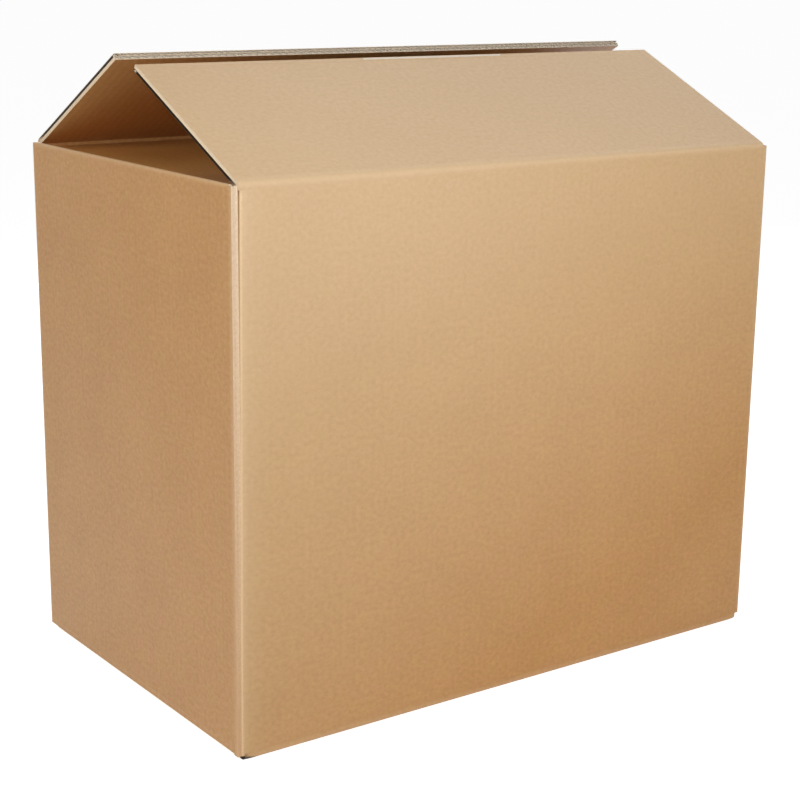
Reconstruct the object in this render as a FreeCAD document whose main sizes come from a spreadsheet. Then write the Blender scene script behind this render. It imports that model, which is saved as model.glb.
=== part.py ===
"""Open shipping carton of double-wall corrugated board, standing on its closed bottom.

The carton is one folded sheet.  The folded body carries the four wall panels, the glued joint, the
closed bottom flaps and the two short top flaps folded in.  The two long top flaps swing on their
creases, so each is a solid of its own.  Lengths are in millimetres.  The origin is the middle of the
base, +X runs along the long panels, +Y from the front panel to the back one, and +Z points up.
"""

import FreeCAD, Part
import Sketcher
import os

DOCUMENT = FreeCAD.newDocument("OpenCarton")
SAME_PLACE = 1e-4

SIZES = [
    ("outer_length", 600.0, "outside length along the long panels"),
    ("outer_width", 372.0, "outside width along the short panels"),
    ("crease_height", 490.0, "height of the long panels, base to top crease"),
    ("board", 6.0, "thickness of the board"),
    ("stack_clearance", 0.3, "air between two flaps that lie on each other"),
    ("seam_gap", 0.6, "gap where two long flaps meet over the middle"),
    ("slot_half_width", 6.6, "half the width of a slot between neighbouring flaps"),
    ("short_crease_drop", 1.5, "top crease of the short panels below that of the long panels"),
    ("slot_end_depth", 0.8, "slots run this far past the crease of the short flaps"),
    ("fold_radius", 4.0, "outside radius of a fold"),
    ("joint_gap", 1.6, "open groove beside the raw end of the glued joint"),
    ("joint_setback", 0.5, "raw end of the glued joint behind the front face"),
    ("tab_width", 38.0, "width of the glue tab"),
    ("tab_bevel", 12.0, "drop of the tab's slanted ends"),
    ("tab_end_gap", 2.0, "tab end to the flap next to it"),
    ("front_angle", 26.0, "front flap above closed, degrees"),
    ("back_angle", 28.5, "back flap above closed, degrees"),
    ("hinge_gap", 0.2, "each side of a crease back from its fold line"),
    ("score_board", 4.0, "board left where a flap is scored"),
    ("score_width", 10.0, "width of the scored band on a flap"),
    ("liner", 0.4, "thickness of each of the three liners"),
    ("medium", 0.4, "thickness of a fluted sheet where it meets a liner"),
    ("outer_flute_height", 1.9, "clear height of the fine flute row under the outer liner"),
    ("outer_flute_pitch", 6.4, "pitch of the fine flutes"),
    ("inner_flute_pitch", 8.0, "pitch of the coarse flutes"),
    ("flute_web", 1.0, "flute wall at the open side of a cell, along the edge"),
    ("flute_nose", 0.4, "half the closed side of a cell"),
    ("side_flute_depth", 2.4, "depth of the flute that each side cut leaves open"),
    ("flute_margin", 5.0, "plain end of a flute row beside a flap's side edge"),
]

# Lengths that several pieces share, worked out from the sheet.
HALF_LENGTH = "Sizes.outer_length / 2"
HALF_WIDTH = "Sizes.outer_width / 2"
FLAP_LENGTH = "(Sizes.outer_width - Sizes.seam_gap) / 2"
LONG_FLAP_WIDTH = "Sizes.outer_length - 2 * Sizes.slot_half_width"
SHORT_FLAP_WIDTH = "Sizes.outer_width - 2 * Sizes.slot_half_width"
SHORT_FOLD_BASE = "(Sizes.board + Sizes.stack_clearance)"
SHORT_CREASE = "(Sizes.crease_height - Sizes.short_crease_drop)"
SHORT_FLAP_TOP = "(Sizes.crease_height - Sizes.board - Sizes.stack_clearance)"
WALL_TOP = "(Sizes.crease_height - Sizes.hinge_gap)"
PANEL_BASE = f"({SHORT_FOLD_BASE} + Sizes.slot_end_depth)"
SLOT_END = f"({SHORT_CREASE} - Sizes.slot_end_depth)"


def make_sheet():
    """Put the driving dimensions into the document's spreadsheet."""
    sheet = DOCUMENT.addObject("Spreadsheet::Sheet", "Sizes")
    for row, (alias, number, meaning) in enumerate(SIZES, start=1):
        sheet.set(f"A{row}", meaning)
        sheet.set(f"B{row}", str(number))
        sheet.setAlias(f"B{row}", alias)
    DOCUMENT.recompute()
    return sheet


SHEET = make_sheet()


def value(expression):
    """Number that an expression over the spreadsheet gives now."""
    return float(SHEET.evalExpression(expression))


def origin_feature(body, role):
    """Plane or axis of the body's own origin."""
    for feature in body.Origin.OriginFeatures:
        if feature.Role == role:
            return feature
    raise ValueError(role)


def new_body(name):
    """Empty body whose label is the name of its file."""
    body = DOCUMENT.addObject("PartDesign::Body", name)
    body.Label = name
    return body


def new_sketch(body, name, plane, offset=None):
    """Sketch on one of the body's origin planes, moved along its normal by offset."""
    sketch = body.newObject("Sketcher::SketchObject", name)
    sketch.AttachmentSupport = [(origin_feature(body, plane), "")]
    sketch.MapMode = "FlatFace"
    if offset is not None:
        sketch.setExpression("AttachmentOffset.Base.z", offset)
    DOCUMENT.recompute()
    return sketch


def pin(sketch, line, axis, expression):
    """Tie one coordinate of a side's start point to the spreadsheet."""
    index = sketch.addConstraint(Sketcher.Constraint("Distance" + axis, line, 1, value(expression)))
    sketch.setExpression(f"Constraints[{index}]", expression)


def arc_between(start, end, radius):
    """Arc that turns left from start to end."""
    half_chord = (end - start) * 0.5
    rise = (radius ** 2 - half_chord.Length ** 2) ** 0.5
    centre = start + half_chord + FreeCAD.Vector(-half_chord.y, half_chord.x, 0).normalize() * rise
    circle = Part.Circle(centre, FreeCAD.Vector(0, 0, 1), radius)
    return Part.ArcOfCircle(circle, circle.parameter(start), circle.parameter(end))


def draw_outline(sketch, corners):
    """Draw a closed outline, counter-clockwise, from the expressions of its corners.

    A corner may carry a radius as its third item; the side that leaves it is then an arc.
    """
    points = [FreeCAD.Vector(value(corner[0]), value(corner[1]), 0) for corner in corners]
    first = sketch.GeometryCount
    count = len(points)
    for number, corner in enumerate(corners):
        start = points[number]
        end = points[(number + 1) % count]
        side = Part.LineSegment(start, end) if len(corner) == 2 else arc_between(start, end, value(corner[2]))
        sketch.addGeometry(side, False)
    for number in range(count):
        following = first + (number + 1) % count
        sketch.addConstraint(Sketcher.Constraint("Coincident", first + number, 2, following, 1))
    for number, corner in enumerate(corners):
        pin(sketch, first + number, "X", corner[0])
        pin(sketch, first + number, "Y", corner[1])
        if len(corner) == 3:
            bend = Sketcher.Constraint("Radius", first + number, value(corner[2]))
            index = sketch.addConstraint(bend)
            sketch.setExpression(f"Constraints[{index}]", corner[2])


def extrude(body, kind, name, sketch, length, reverse=False, both_ways=False, merge=True):
    """Pad or pocket of a sketch; both_ways centres it on the sketch's plane.

    Faces that continue each other are joined into one if merge is set.
    """
    before = body.Shape.Volume if kind == "Pocket" else 0.0
    feature = body.newObject("PartDesign::" + kind, name)
    feature.Profile = sketch
    feature.setExpression("Length", length)
    feature.Reversed = reverse
    feature.Refine = merge
    if both_ways:
        feature.SideType = "Symmetric"
    sketch.Visibility = False
    body.Tip = feature
    DOCUMENT.recompute()
    if kind == "Pocket" and feature.Shape.Volume >= before - SAME_PLACE:
        raise RuntimeError(name + " cuts nothing")
    return feature


def mirror(body, name, originals, plane):
    """Repeat features on the far side of one of the body's origin planes."""
    feature = body.newObject("PartDesign::Mirrored", name)
    feature.Originals = originals
    feature.MirrorPlane = (origin_feature(body, plane), [""])
    body.Tip = feature
    DOCUMENT.recompute()
    return feature


def repeat_along_x(body, name, original, pitch, count):
    """Repeat a feature along the body's X axis."""
    feature = body.newObject("PartDesign::LinearPattern", name)
    feature.Refine = False
    feature.Originals = [original]
    feature.Direction = (origin_feature(body, "X_Axis"), [""])
    feature.Mode = "Spacing"
    feature.setExpression("Offset", pitch)
    feature.setExpression("Occurrences", count)
    body.Tip = feature
    DOCUMENT.recompute()
    return feature


def add_panels(body):
    """Four wall panels as one ring, with the raw end and the groove of the glued joint."""
    raw_end = f"-({HALF_WIDTH}) + Sizes.joint_setback"
    inside = f"-({HALF_LENGTH}) + Sizes.board"
    groove_side = f"{inside} + Sizes.joint_gap"
    groove_floor = f"-({HALF_WIDTH}) + Sizes.fold_radius"
    joint_radius = "Sizes.fold_radius * 3 / 4"
    radius = "Sizes.fold_radius"
    sketch = new_sketch(body, "PanelOutline", "XY_Plane", PANEL_BASE)
    draw_outline(sketch, [
        (f"-({HALF_LENGTH})", raw_end),
        (inside, raw_end),
        (inside, groove_floor),
        (groove_side, groove_floor),
        (groove_side, f"-({HALF_WIDTH}) + {joint_radius}", joint_radius),
        (f"{groove_side} + {joint_radius}", f"-({HALF_WIDTH})"),
        (f"{HALF_LENGTH} - {radius}", f"-({HALF_WIDTH})", radius),
        (HALF_LENGTH, f"-({HALF_WIDTH}) + {radius}"),
        (HALF_LENGTH, f"{HALF_WIDTH} - {radius}", radius),
        (f"{HALF_LENGTH} - {radius}", HALF_WIDTH),
        (f"-({HALF_LENGTH}) + {radius}", HALF_WIDTH, radius),
        (f"-({HALF_LENGTH})", f"{HALF_WIDTH} - {radius}"),
    ])
    draw_outline(sketch, [
        (f"{x}({HALF_LENGTH} - Sizes.board)", f"{y}({HALF_WIDTH} - Sizes.board)")
        for x, y in (("-", "-"), ("", "-"), ("", ""), ("-", ""))
    ])
    extrude(body, "Pad", "Panels", sketch, f"{WALL_TOP} - {PANEL_BASE}")


def cut_slots(body):
    """End the short panels below the long ones, and clear the folds between their slots."""
    slots = new_sketch(body, "SlotSection", "XZ_Plane")
    folds = new_sketch(body, "ShortFoldSection", "XZ_Plane")
    over = f"{WALL_TOP} + Sizes.board"
    for side in (-1, 1):
        slot_side = f"{side} * ({HALF_LENGTH} - Sizes.slot_half_width)"
        wall_side = f"{side} * ({HALF_LENGTH} - Sizes.board)"
        beyond = f"{side} * ({HALF_LENGTH} + Sizes.board)"
        draw_outline(slots, [
            (slot_side, SLOT_END),
            (beyond, SLOT_END),
            (beyond, over),
            (slot_side, over),
        ])
        for low, high in (
            (f"{SHORT_FLAP_TOP} - Sizes.board / 2", over),
            ("0 * Sizes.board", f"{SHORT_FOLD_BASE} + Sizes.board"),
        ):
            draw_outline(folds, [(wall_side, low), (beyond, low), (beyond, high), (wall_side, high)])
    extrude(body, "Pocket", "Slots", slots, "2 * Sizes.outer_width", both_ways=True)
    extrude(body, "Pocket", "ShortFolds", folds, SHORT_FLAP_WIDTH, both_ways=True)


def mitre_long_panels(body):
    """Bevel the tops of the long panels inwards, so that the flaps can fold flat."""
    beyond = "Sizes.board"
    sketch = new_sketch(body, "MitreSection", "YZ_Plane")
    draw_outline(sketch, [
        (f"-({HALF_WIDTH}) - {beyond}", f"{WALL_TOP} + {beyond}"),
        (f"-({HALF_WIDTH}) + Sizes.board + {beyond}", f"{WALL_TOP} - Sizes.board - {beyond}"),
        (f"-({HALF_WIDTH}) + Sizes.board + {beyond}", f"{WALL_TOP} + {beyond}"),
    ])
    mitre = extrude(body, "Pocket", "FrontMitre", sketch, LONG_FLAP_WIDTH, both_ways=True)
    mirror(body, "BackMitre", [mitre], "XZ_Plane")


def add_long_bottom_flaps(body):
    """Long bottom flaps on the floor, meeting over the middle."""
    inside = f"-({HALF_WIDTH}) + Sizes.board"
    tip = f"-({HALF_WIDTH}) + {FLAP_LENGTH}"
    sketch = new_sketch(body, "LongBottomSection", "YZ_Plane")
    draw_outline(sketch, [
        (f"-({HALF_WIDTH})", PANEL_BASE),
        (f"-({HALF_WIDTH})", "Sizes.fold_radius", "Sizes.fold_radius"),
        (f"-({HALF_WIDTH}) + Sizes.fold_radius", "0 * Sizes.board"),
        (tip, "0 * Sizes.board"),
        (tip, "Sizes.board"),
        (inside, "Sizes.board"),
        (inside, PANEL_BASE),
    ])
    flap = extrude(body, "Pad", "FrontBottomFlap", sketch, LONG_FLAP_WIDTH, both_ways=True)
    mirror(body, "BackBottomFlap", [flap], "XZ_Plane")


def add_short_bottom_flaps(body):
    """Short bottom flaps, lying on the long ones."""
    inside = f"-({HALF_LENGTH}) + Sizes.board"
    tip = f"-({HALF_LENGTH}) + {FLAP_LENGTH}"
    joined = f"{SHORT_FOLD_BASE} + 3 * Sizes.board / 2"
    sketch = new_sketch(body, "ShortBottomSection", "XZ_Plane")
    draw_outline(sketch, [
        (f"-({HALF_LENGTH})", joined),
        (f"-({HALF_LENGTH})", f"{SHORT_FOLD_BASE} + Sizes.fold_radius", "Sizes.fold_radius"),
        (f"-({HALF_LENGTH}) + Sizes.fold_radius", SHORT_FOLD_BASE),
        (tip, SHORT_FOLD_BASE),
        (tip, f"{SHORT_FOLD_BASE} + Sizes.board"),
        (inside, f"{SHORT_FOLD_BASE} + Sizes.board"),
        (inside, joined),
    ])
    flap = extrude(body, "Pad", "LeftBottomFlap", sketch, SHORT_FLAP_WIDTH, both_ways=True)
    mirror(body, "RightBottomFlap", [flap], "YZ_Plane")


def add_short_top_flaps(body):
    """Short top flaps folded in, each behind its rolled crease.

    The crease stands above the flap in the strip that the closed long flaps leave free.
    """
    roll_side = f"-({HALF_LENGTH}) + Sizes.slot_half_width - Sizes.stack_clearance"
    roll_radius = f"({SHORT_CREASE} - {SHORT_FLAP_TOP}) * 0.4"
    outer_radius = "Sizes.fold_radius * 3 / 4"
    tip = f"-({HALF_LENGTH}) + {FLAP_LENGTH}"
    sketch = new_sketch(body, "ShortTopSection", "XZ_Plane")
    draw_outline(sketch, [
        (f"-({HALF_LENGTH})", f"{SHORT_FLAP_TOP} - Sizes.board"),
        (tip, f"{SHORT_FLAP_TOP} - Sizes.board"),
        (tip, SHORT_FLAP_TOP),
        (roll_side, SHORT_FLAP_TOP),
        (roll_side, f"{SHORT_CREASE} - {roll_radius}", roll_radius),
        (f"{roll_side} - {roll_radius}", SHORT_CREASE),
        (f"-({HALF_LENGTH}) + {outer_radius}", SHORT_CREASE, outer_radius),
        (f"-({HALF_LENGTH})", f"{SHORT_CREASE} - {outer_radius}"),
    ])
    flap = extrude(body, "Pad", "LeftTopFlap", sketch, SHORT_FLAP_WIDTH, both_ways=True)
    mirror(body, "RightTopFlap", [flap], "YZ_Plane")


def add_glue_tab(body):
    """Tab of the front panel, glued inside the left panel; its ends are slanted."""
    sketch = new_sketch(body, "TabOutline", "YZ_Plane", f"-({HALF_LENGTH}) + Sizes.board / 2")
    near = f"-({HALF_WIDTH}) + Sizes.board / 2"
    far = f"-({HALF_WIDTH}) + Sizes.board + Sizes.tab_width"
    low = f"{SHORT_FOLD_BASE} + Sizes.board + Sizes.tab_end_gap"
    high = f"{SHORT_FLAP_TOP} - Sizes.board - Sizes.tab_end_gap"
    draw_outline(sketch, [
        (near, low),
        (far, f"{low} + Sizes.tab_bevel"),
        (far, f"{high} - Sizes.tab_bevel"),
        (near, high),
    ])
    extrude(body, "Pad", "GlueTab", sketch, "3 * Sizes.board / 2")


def build_carton_body():
    """Folded sheet without its two long top flaps."""
    body = new_body("carton_body")
    add_panels(body)
    cut_slots(body)
    mitre_long_panels(body)
    add_long_bottom_flaps(body)
    add_short_bottom_flaps(body)
    add_short_top_flaps(body)
    add_glue_tab(body)
    return body


def add_flute_row(body, title, inward, top, height, pitch):
    """Open flutes of one fluted sheet, from the free edge to the scored band.

    A period has one cell that stands on its point under the upper liner and one that stands on the
    lower liner, with the slanting fluted sheet between them.
    """
    count = f"floor(({LONG_FLAP_WIDTH} - 2 * Sizes.flute_margin) / {pitch} - 0.5)"
    start = f"-({count}) * {pitch} / 2 + {pitch} / 4"
    bottom = f"{top} - {height}"
    offset = f"{-inward} * ({FLAP_LENGTH})"
    sketch = new_sketch(body, title + "Cell", "XZ_Plane", offset)
    draw_outline(sketch, [
        (f"{start} + Sizes.flute_web", top),
        (f"{start} + {pitch} - Sizes.flute_web", top),
        (f"{start} + {pitch} / 2 + Sizes.flute_nose", f"{bottom} + Sizes.medium"),
        (f"{start} + {pitch} / 2 - Sizes.flute_nose", f"{bottom} + Sizes.medium"),
    ])
    draw_outline(sketch, [
        (f"{start} - {pitch} / 2 + Sizes.flute_web", bottom),
        (f"{start} + {pitch} / 2 - Sizes.flute_web", bottom),
        (f"{start} + Sizes.flute_nose", f"{top} - Sizes.medium"),
        (f"{start} - Sizes.flute_nose", f"{top} - Sizes.medium"),
    ])
    depth = f"{FLAP_LENGTH} - Sizes.score_width"
    cell = extrude(body, "Pocket", title + "First", sketch, depth, reverse=inward > 0, merge=False)
    repeat_along_x(body, title + "Row", cell, pitch, count)


def open_side_flutes(body, title, inward, top, height):
    """Open flutes along a flap's two side edges, where the cut runs through a coarse flute."""
    edge = f"({LONG_FLAP_WIDTH}) / 2"
    bottom = f"{top} - {height}"
    sketch = new_sketch(body, title + "Channel", "XZ_Plane", f"{-inward} * ({FLAP_LENGTH})")
    for side in (-1, 1):
        draw_outline(sketch, [
            (f"{side} * ({edge} + Sizes.board)", bottom),
            (f"{side} * ({edge} + Sizes.board)", top),
            (f"{side} * ({edge} - Sizes.side_flute_depth * 0.4)", top),
            (f"{side} * ({edge} - Sizes.side_flute_depth)", f"{bottom} + Sizes.medium"),
            (f"{side} * ({edge} - Sizes.side_flute_depth)", bottom),
        ])
    depth = f"{FLAP_LENGTH} - Sizes.score_width"
    extrude(body, "Pocket", title + "SideFlutes", sketch, depth, reverse=inward > 0, merge=False)


def build_long_flap(name, inward, angle):
    """Long top flap, modelled flat about its fold line and then raised to where it stands."""
    body = new_body(name)
    sketch = new_sketch(body, name + "_section", "YZ_Plane")
    draw_outline(sketch, [
        (f"{inward} * Sizes.hinge_gap", "0 * Sizes.board"),
        (f"{inward} * {FLAP_LENGTH}", "0 * Sizes.board"),
        (f"{inward} * {FLAP_LENGTH}", "-Sizes.board"),
        (f"{inward} * Sizes.score_width", "-Sizes.board"),
        (f"{inward} * (Sizes.score_board + Sizes.hinge_gap)", "-Sizes.score_board"),
    ])
    extrude(body, "Pad", name + "_board", sketch, LONG_FLAP_WIDTH, both_ways=True)
    outer_top = "-Sizes.liner"
    inner_top = "-2 * Sizes.liner - Sizes.outer_flute_height"
    inner_height = "(Sizes.board - 3 * Sizes.liner - Sizes.outer_flute_height)"
    open_side_flutes(body, name, inward, inner_top, inner_height)
    add_flute_row(body, name + "_fine", inward, outer_top, "Sizes.outer_flute_height",
                  "Sizes.outer_flute_pitch")
    add_flute_row(body, name + "_coarse", inward, inner_top, inner_height, "Sizes.inner_flute_pitch")
    body.Placement = FreeCAD.Placement(FreeCAD.Vector(), FreeCAD.Rotation(FreeCAD.Vector(1, 0, 0), 1))
    body.setExpression("Placement.Base.y", f"{-inward} * ({HALF_WIDTH})")
    body.setExpression("Placement.Base.z", "Sizes.crease_height")
    body.setExpression("Placement.Rotation.Angle", f"{inward} * Sizes.{angle}")
    DOCUMENT.recompute()
    return body


def check_document(bodies):
    """Stop if a feature failed or a piece is not one valid solid."""
    for thing in DOCUMENT.Objects:
        if "Invalid" in thing.State or "Error" in thing.State:
            raise RuntimeError(thing.Name + " failed")
    for body in bodies:
        shape = body.Shape
        if shape.isNull() or not shape.isValid() or len(shape.Solids) != 1:
            raise RuntimeError(body.Label + " is not one valid solid")


def main():
    """Build the carton and write one file for each piece."""
    bodies = [
        build_carton_body(),
        build_long_flap("front_flap", 1, "front_angle"),
        build_long_flap("back_flap", -1, "back_angle"),
    ]
    DOCUMENT.recompute()
    check_document(bodies)
    os.makedirs("parts", exist_ok=True)
    for body in bodies:
        body.Shape.exportStep(os.path.join("parts", body.Label + ".step"))
        box = body.Shape.BoundBox
        print(f"{body.Label}: {body.Shape.Volume / 1000:.1f} cm3, {len(body.Shape.Faces)} faces, "
              f"z {box.ZMin:.2f} to {box.ZMax:.2f}")


main()
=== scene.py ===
"""Open double-wall shipping carton, dressed over its fixed frame.

Lengths are in metres, in the frame of the CAD model: the origin is the middle of the base, +X runs
along the long panels, +Y from the front panel to the back one, +Z up.  Every board surface carries a
UV map named Blank, whose two numbers are the place on the flat blank in metres: across the flutes,
and along them.
"""

import logging
import math
from dataclasses import dataclass, field
from enum import Enum
from typing import Optional

import bmesh
import bpy
import numpy as np
from mathutils import Matrix, Vector


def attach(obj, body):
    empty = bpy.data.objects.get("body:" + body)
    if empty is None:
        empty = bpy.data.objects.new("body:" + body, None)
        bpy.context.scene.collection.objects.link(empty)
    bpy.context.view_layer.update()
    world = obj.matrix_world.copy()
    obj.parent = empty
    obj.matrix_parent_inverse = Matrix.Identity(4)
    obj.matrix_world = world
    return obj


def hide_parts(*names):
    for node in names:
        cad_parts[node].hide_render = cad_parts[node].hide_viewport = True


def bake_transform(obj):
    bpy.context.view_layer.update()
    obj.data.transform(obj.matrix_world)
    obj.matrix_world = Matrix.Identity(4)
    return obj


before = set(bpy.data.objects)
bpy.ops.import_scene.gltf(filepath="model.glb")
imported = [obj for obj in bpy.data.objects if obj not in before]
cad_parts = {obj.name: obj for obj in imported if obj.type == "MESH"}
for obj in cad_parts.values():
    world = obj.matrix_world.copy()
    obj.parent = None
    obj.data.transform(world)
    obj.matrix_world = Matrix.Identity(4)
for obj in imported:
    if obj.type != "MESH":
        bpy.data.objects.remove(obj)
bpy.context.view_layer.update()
LOG = logging.getLogger("open_carton")
MM = 0.001
MERGE_DISTANCE = 2e-6
QUARTER_POINTS = 8

Socket = bpy.types.NodeSocket
Triple = tuple[float, float, float]
Tone = tuple[int, int, int]


class Finish(Enum):
    """Which paper a face shows; the value is the material slot of every board mesh."""

    OUTER = 0
    INNER = 1
    RAW = 2
    FLUTE = 3


@dataclass(frozen=True)
class Board:
    """Double-wall board: three liners with a fine and a coarse fluted sheet between them."""

    thickness: float = 6.0 * MM
    liner: float = 0.4 * MM
    fine_height: float = 1.9 * MM
    fine_pitch: float = 6.4 * MM
    coarse_pitch: float = 8.0 * MM
    paper: float = 0.32 * MM
    flute_depth: float = 3.0 * MM

    @property
    def coarse_height(self) -> float:
        """Clear height of the coarse flute row."""
        return self.thickness - 3 * self.liner - self.fine_height


@dataclass(frozen=True)
class Carton:
    """Sizes of the folded carton, the same values as in the CAD source."""

    length: float = 600.0 * MM
    width: float = 372.0 * MM
    crease: float = 490.0 * MM
    short_crease: float = 488.5 * MM
    short_flap_top: float = 483.7 * MM
    slot: float = 6.6 * MM
    flap: float = 185.7 * MM
    fold_radius: float = 4.0 * MM
    panel_base: float = 7.1 * MM
    short_base: float = 6.3 * MM
    strip_start: float = 484.0 * MM
    tab_width: float = 38.0 * MM
    front_angle: float = 26.0
    back_angle: float = 28.5

    @property
    def half_length(self) -> float:
        """Half the outside length."""
        return self.length / 2

    @property
    def half_width(self) -> float:
        """Half the outside width."""
        return self.width / 2

    @property
    def girth(self) -> float:
        """Way round the four panels, which stand on the blank as left, back, right and front."""
        return 2 * (self.length + self.width)


BOARD = Board()
CARTON = Carton()

# Waves of a sheet: height, phase per metre across the flutes and along them, and phase per seed.
WAVES = ((1.0, 11.0, 4.0, 1.0), (0.8, -7.0, 15.0, 2.1), (0.5, 26.0, -9.0, 3.7), (0.3, 18.0, 31.0, 5.3))

# Painted sheen: a paler tone painted on the front where the lamps' veil of light falls; its share at the
# upper left corner, and what is lost downwards, rightwards and both.
SHEEN_START, SHEEN_DOWN, SHEEN_RIGHT, SHEEN_BOTH = 0.64, 0.40, 0.10, 0.42

# A raw side edge from face to face: place through the board, depth of the laid open flute, and its painted
# shade, dark where shadow falls in the open flute.
SIDE_EDGE = np.array([
    (0.00, 0.00, 0.00),
    (0.07, 0.00, 0.00),
    (0.30, 0.06, 0.00),
    (0.52, 0.00, 0.00),
    (0.56, 0.00, 0.30),
    (0.60, 0.85, 0.90),
    (0.75, 1.00, 0.97),
    (0.90, 0.95, 0.97),
    (1.00, 0.00, 0.97),
])

# The joint's raw end from face to face: place through the board, and depth of its hollow in millimetres.
RAW_END = np.array([
    (0.00, 0.00),
    (0.06, 0.00),
    (0.36, 0.00),
    (0.40, 0.15),
    (0.45, 0.25),
    (0.86, 0.25),
    (0.92, 0.10),
    (1.00, 0.00),
])

# Noise masks of the paper: scale on each axis of the blank, detail and roughness.
GRAINS = {
    "Cloud": ((14.0, 14.0, 14.0), 3.0, 0.55),
    "Mottle": ((210.0, 250.0, 230.0), 3.0, 0.65),
    "Streak": ((240.0, 8.0, 8.0), 2.0, 0.5),
    "Fibre": ((1500.0, 650.0, 900.0), 3.0, 0.7),
    "Fleck": ((620.0, 300.0, 400.0), 1.0, 0.4),
    "Hue": ((55.0, 75.0, 60.0), 2.0, 0.6),
}


def smooth_step(value: np.ndarray) -> np.ndarray:
    """Ramp from 0 to 1 that starts and ends level: 3t^2 - 2t^3."""
    t = np.clip(value, 0.0, 1.0)
    return t * t * (3 - 2 * t)


def spread(start: float, end: float, step: float) -> np.ndarray:
    """Even values from start to end, about a step apart."""
    count = max(2, int(round(abs(end - start) / step)) + 1)
    return np.linspace(start, end, count)


def joined(*parts: np.ndarray | float) -> np.ndarray:
    """Arrays brought to one shape and joined as the coordinates of points."""
    return np.stack(np.broadcast_arrays(*parts), -1)


def run_length(line: np.ndarray) -> np.ndarray:
    """Way along a line from its first point to each point."""
    return np.concatenate([[0.0], np.cumsum(np.linalg.norm(np.diff(line, axis=0), axis=1))])


def bell(away: np.ndarray, width: float) -> np.ndarray:
    """Bell curve: e to the power of minus the square of the distance over the width."""
    return np.exp(-((away / width) ** 2))


def quarter(radius: float) -> tuple[np.ndarray, np.ndarray]:
    """Quarter circle between two tangents: radius times 1 - cos and 1 - sin, its points' distances."""
    swing = np.linspace(0.0, math.pi / 2, QUARTER_POINTS)
    return radius * (1 - np.cos(swing)), radius * (1 - np.sin(swing))


def unevenness(across: np.ndarray, along: np.ndarray, seed: float) -> np.ndarray:
    """Slow waves of a sheet that is never quite flat.

    The sum of the sines in WAVES over the sum of their heights, so it stays between -1 and 1.

    Args:
        across: place across the flutes.
        along: place along the flutes.
        seed: shifts the waves, so that panels differ.

    Returns:
        The height of the waves at each place.
    """
    waves = sum(height * np.sin(p * across + q * along + turn * seed) for height, p, q, turn in WAVES)
    return waves / sum(height for height, *_ in WAVES)


def painted_sheen(share: np.ndarray, depth: np.ndarray | float) -> np.ndarray:
    """Share of the painted sheen on the front of the carton, a paler tone that stands in for the lamps'
    veil of light.

    The start value less a part of the depth, of the share and of their product, never below 0.

    Args:
        share: place along the front panel, 0 at the left end and 1 at the right one.
        depth: 0 at the crease and 1 at the base.

    Returns:
        The share of the painted sheen's pale tone.
    """
    lost = SHEEN_DOWN * depth + SHEEN_RIGHT * share + SHEEN_BOTH * share * depth
    return np.clip(SHEEN_START - lost, 0.0, 1.0)


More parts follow.
